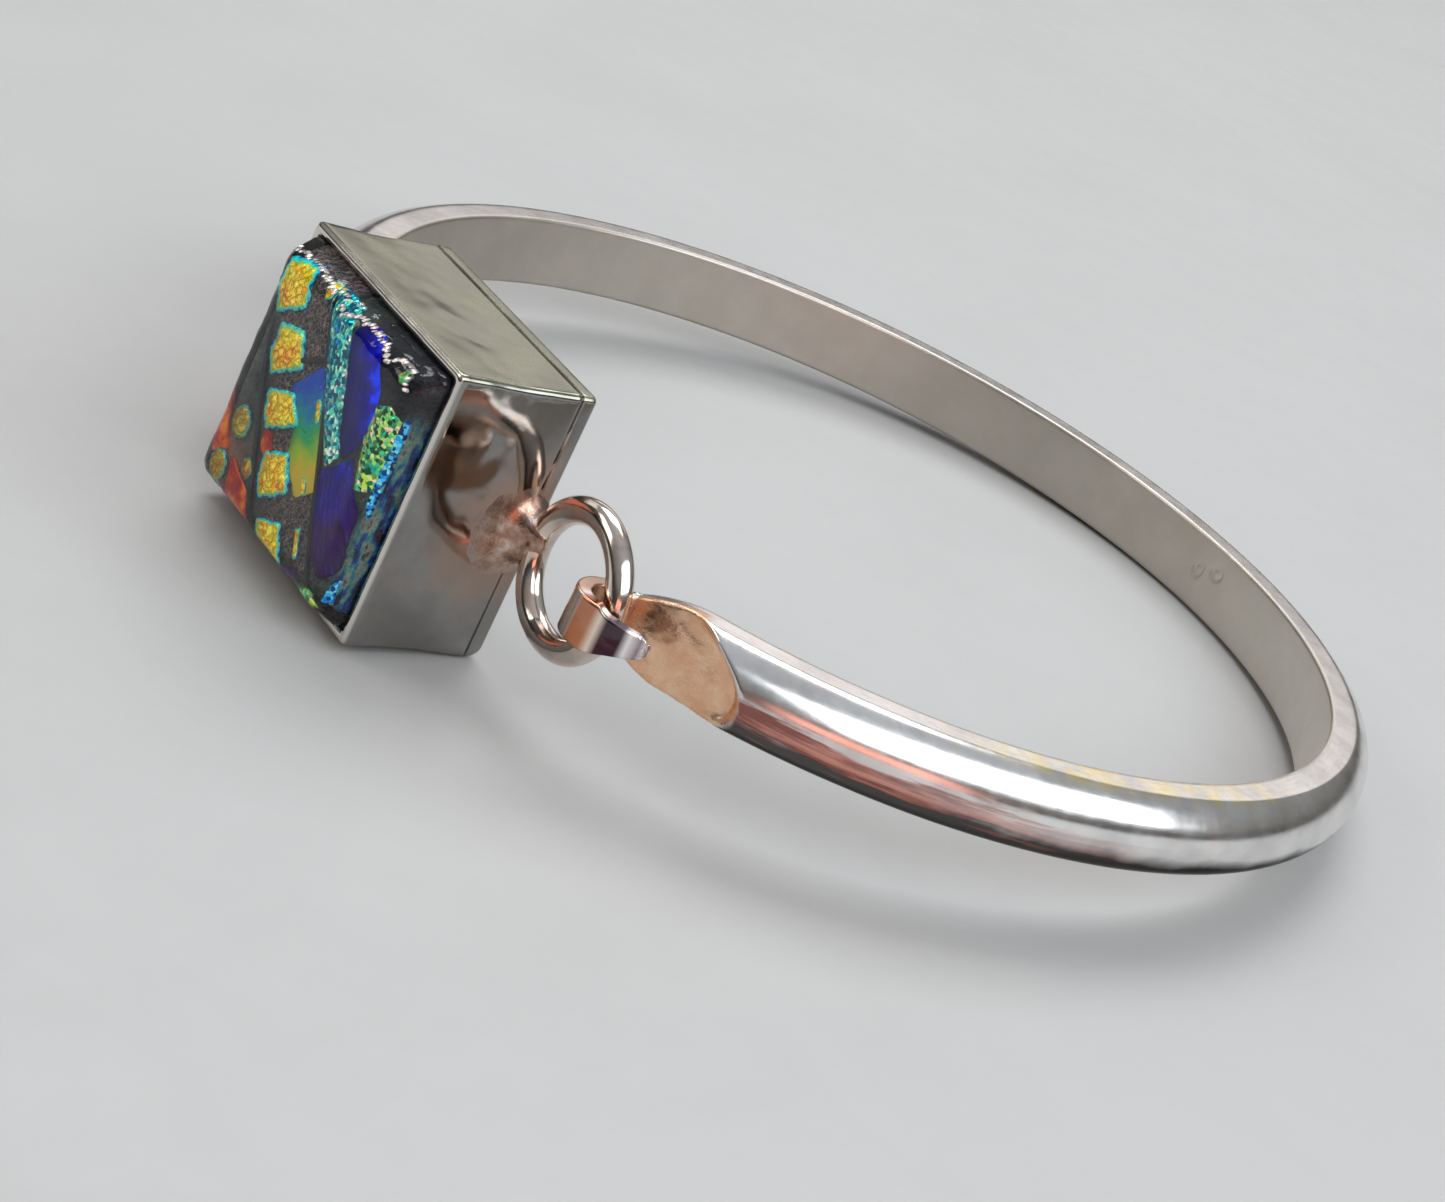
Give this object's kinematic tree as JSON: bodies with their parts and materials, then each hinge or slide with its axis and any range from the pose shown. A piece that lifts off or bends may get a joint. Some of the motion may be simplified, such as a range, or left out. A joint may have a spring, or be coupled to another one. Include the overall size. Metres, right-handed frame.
{
  "type": "bangle bracelet",
  "caption": "Silver hook-and-ring bangle: a bent D-section bar whose hooked ends hold wire rings on a deep square bezel set with patterned fused glass.",
  "frame": {"origin": "centre of the wrist opening, half way up the band", "axes": "+Z along the wrist opening's axis; -Y towards the bezel's glass face; +X towards the open catch hook"},
  "size_m": [0.0686, 0.0733, 0.016],
  "materials": {
    "band_silver": "polished silver, finely scratched",
    "bezel_silver": "satin-polished silver sheet, smudged",
    "ring_silver": "polished round wire",
    "solder": "lumpy polished solder",
    "backing": "matte packing",
    "dark_glass": "opaque dark fused glass",
    "gold_glass": "metallic gold squares on dark glass",
    "teal_glass": "sparkling teal glass",
    "cobalt_glass": "deep blue glass",
    "clear_glass": "clear fire-polished glass"
  },
  "bodies": {
    "bangle": {"band": "band_silver"},
    "bezel": {"bezel_wall": "bezel_silver", "bezel_back": "bezel_silver", "glass_backing": "backing", "glass_base": "dark_glass", "glass_gold_strip": "gold_glass", "glass_teal_strip": "teal_glass", "glass_cobalt_leaf": "cobalt_glass", "glass_cap": "clear_glass", "catch_ring": "ring_silver", "hinge_ring": "ring_silver", "catch_solder": "solder", "hinge_solder": "solder"}
  },
  "joints": [
    {"name": "bezel_rock", "type": "hinge", "parent": "bangle", "child": "bezel", "pos_m": [0, -0.0289, 0], "axis": [1, 0, 0], "range_deg": [-8, 8]}
  ]
}
